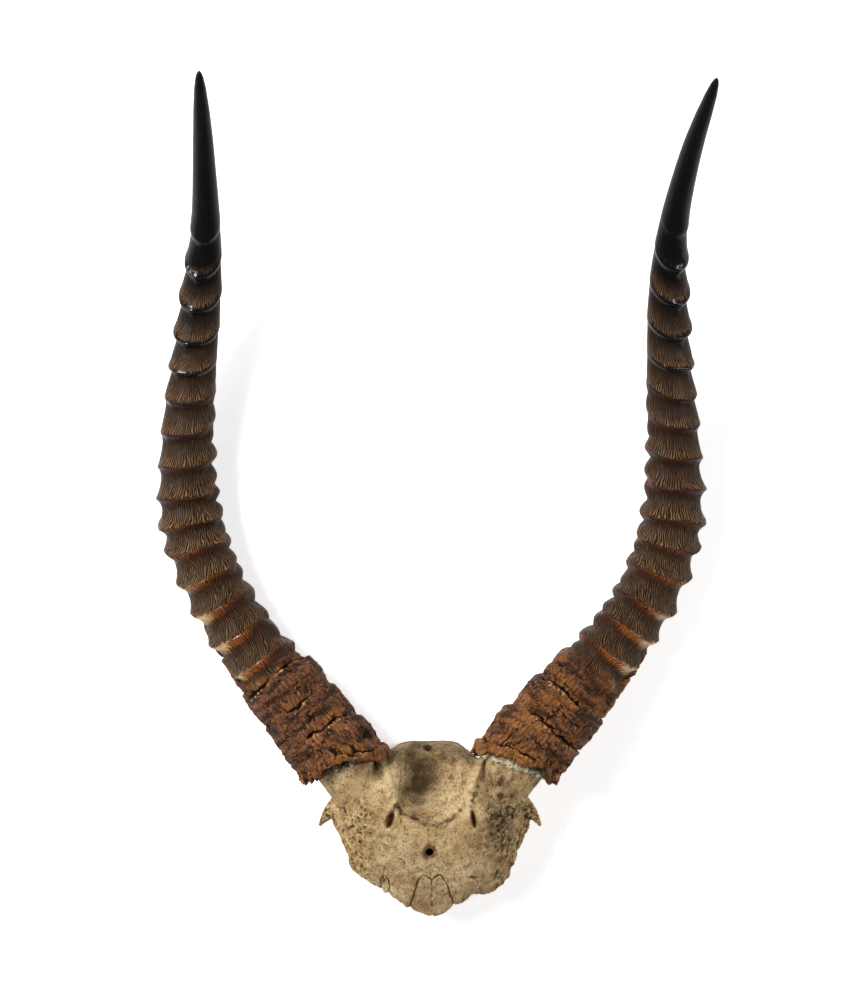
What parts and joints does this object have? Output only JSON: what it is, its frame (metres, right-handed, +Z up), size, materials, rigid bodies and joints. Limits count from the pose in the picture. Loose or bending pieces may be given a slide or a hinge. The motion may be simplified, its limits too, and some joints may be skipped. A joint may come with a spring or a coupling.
{
  "type": "impala horn frontlet",
  "caption": "Pair of ringed, lyre-shaped impala horns on a sawn bone skull plate, lying on its flat sawn face for display or as a set prop.",
  "frame": {"origin": "middle of the whole outline seen from above, on the surface that the frontlet lies on", "axes": "+Y from the nose end of the skull plate to the horn tips, +Z up out of the forehead, +X to the right as seen from above"},
  "size_m": [0.2887, 0.4336, 0.1303],
  "materials": {
    "bone": "matte",
    "horn": "satin",
    "dried_tissue": "matte"
  },
  "bodies": {
    "root": {"skull_plate": "bone", "nasal_left": "bone", "nasal_right": "bone", "lacrimal_fragment": "bone", "left_horn_sheath": "horn", "right_horn_sheath": "horn", "left_dried_tissue": "dried_tissue", "right_dried_tissue": "dried_tissue"}
  },
  "joints": []
}
